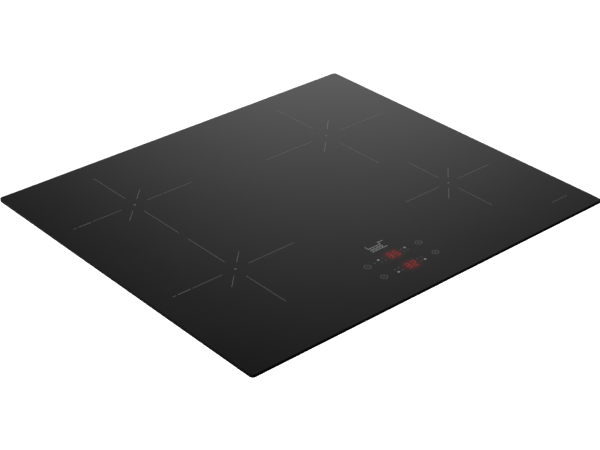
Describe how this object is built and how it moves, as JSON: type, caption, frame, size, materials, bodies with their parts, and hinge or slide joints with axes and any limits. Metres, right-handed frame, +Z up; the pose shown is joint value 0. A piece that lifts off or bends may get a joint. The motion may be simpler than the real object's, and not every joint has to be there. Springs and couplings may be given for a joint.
{
  "type": "induction hob",
  "caption": "Built-in induction hob: rectangular black glass top with printed cross-shaped cooking zones and touch controls, over a shallow sheet-steel casing with worktop clamps.",
  "frame": {"origin": "centre of the casing's underside, under the centre of the glass", "axes": "+X to the user's right along the glass's long side, +Y to the rear, +Z up"},
  "size_m": [0.58, 0.51, 0.0551],
  "materials": {
    "black_glass": "polished black glass-ceramic, opaque, ground edge",
    "grey_print": "fired ceramic print, faint dark grey",
    "light_print": "fired ceramic print, light grey",
    "seal_foam": "closed-cell foam, matt",
    "sealant": "silicone, satin",
    "galvanised_steel": "galvanised, faint spangle",
    "zinc_screws": "zinc plated",
    "tray_aluminium": "mill finish",
    "brass": "turned",
    "ferrite": "sintered, matt",
    "mica": "flaky mica sheet",
    "ceramic": "glazed",
    "spring_steel": "drawn wire",
    "white_wire": "satin insulation",
    "red_sleeving": "braided glass sleeving",
    "white_plastic": "moulded, satin",
    "circuit_board": "solder mask",
    "black_moulding": "moulded, fine grain",
    "grey_moulding": "moulded, satin",
    "blue_moulding": "moulded",
    "capacitor_film": "dipped resin",
    "copper_winding": "enamelled copper strands",
    "motor_steel": "lamination steel",
    "red_display": "red display lens",
    "lamp_lens": "clear lamp lens",
    "black_rubber": "moulded rubber",
    "mains_insulation": "satin insulation, one colour per core",
    "clamp_steel": "bright zinc, bent strip"
  },
  "bodies": {
    "hob": {"glass_top": "black_glass", "zone_markings": "grey_print", "control_icons": "grey_print", "pan_pictogram": "light_print", "rim_gasket": "seal_foam", "sealant_bead": "sealant", "support_frame": "galvanised_steel", "bottom_pan": "galvanised_steel", "pan_screws": "zinc_screws", "coil_tray_left": "tray_aluminium", "coil_tray_right": "tray_aluminium", "tray_standoffs": "brass", "tray_screws": "zinc_screws", "coil_winding_rear_left": "copper_winding", "coil_winding_front_left": "copper_winding", "coil_winding_rear_right": "copper_winding", "coil_winding_front_right": "copper_winding", "coil_carrier_rear_left": "white_plastic", "coil_carrier_front_left": "white_plastic", "coil_carrier_rear_right": "white_plastic", "coil_carrier_front_right": "white_plastic", "ferrite_bars": "ferrite", "mica_sheets": "mica", "temperature_sensors": "ceramic", "sensor_springs": "spring_steel", "sensor_leads": "white_wire", "coil_leads": "red_sleeving", "coil_terminals": "brass", "board_trays": "white_plastic", "power_boards": "circuit_board", "board_screws": "zinc_screws", "heat_sinks": "tray_aluminium", "power_transistors": "black_moulding", "capacitors": "capacitor_film", "filter_chokes": "copper_winding", "relays": "blue_moulding", "blower_housing_left": "black_moulding", "blower_housing_right": "black_moulding", "blower_motors": "motor_steel", "control_holder": "white_plastic", "control_board": "circuit_board", "display_upper": "red_display", "display_lower": "red_display", "touch_springs": "spring_steel", "indicator_lamps": "lamp_lens", "control_cable": "white_wire", "terminal_housing": "black_moulding", "terminal_rear_wall": "black_moulding", "terminal_block": "ceramic", "cable_bush": "black_rubber", "cable_clamp": "grey_moulding", "cover_hinge_pin": "zinc_screws", "mains_tabs": "brass", "mains_wires": "mains_insulation", "clamp_screws": "zinc_screws"},
    "wheel_left": {"impeller_left": "grey_moulding"},
    "wheel_right": {"impeller_right": "grey_moulding"},
    "clamp_rear_left": {"clamp_rear_left": "clamp_steel"},
    "clamp_front_left": {"clamp_front_left": "clamp_steel"},
    "clamp_rear_right": {"clamp_rear_right": "clamp_steel"},
    "clamp_front_right": {"clamp_front_right": "clamp_steel"},
    "terminal_cover": {"terminal_cover": "black_moulding"}
  },
  "joints": [
    {"name": "wheel_left_spin", "type": "hinge", "parent": "hob", "child": "wheel_left", "pos_m": [-0.045, 0.06, 0.014], "axis": [0, 0, 1], "continuous": true},
    {"name": "wheel_right_spin", "type": "hinge", "parent": "hob", "child": "wheel_right", "pos_m": [0.045, 0.06, 0.014], "axis": [0, 0, 1], "continuous": true},
    {"name": "clamp_rear_left_swing", "type": "hinge", "parent": "hob", "child": "clamp_rear_left", "pos_m": [-0.264, 0.176, 0.004], "axis": [0, 0, -1], "range_deg": [0, 90]},
    {"name": "clamp_front_left_swing", "type": "hinge", "parent": "hob", "child": "clamp_front_left", "pos_m": [-0.264, -0.176, 0.004], "axis": [0, 0, 1], "range_deg": [0, 90]},
    {"name": "clamp_rear_right_swing", "type": "hinge", "parent": "hob", "child": "clamp_rear_right", "pos_m": [0.264, 0.176, 0.004], "axis": [0, 0, 1], "range_deg": [0, 90]},
    {"name": "clamp_front_right_swing", "type": "hinge", "parent": "hob", "child": "clamp_front_right", "pos_m": [0.264, -0.176, 0.004], "axis": [0, 0, -1], "range_deg": [0, 90]},
    {"name": "terminal_cover_lift", "type": "hinge", "parent": "hob", "child": "terminal_cover", "pos_m": [0.225, 0.241, 0.0295], "axis": [1, 0, 0], "range_deg": [0, 90]}
  ]
}
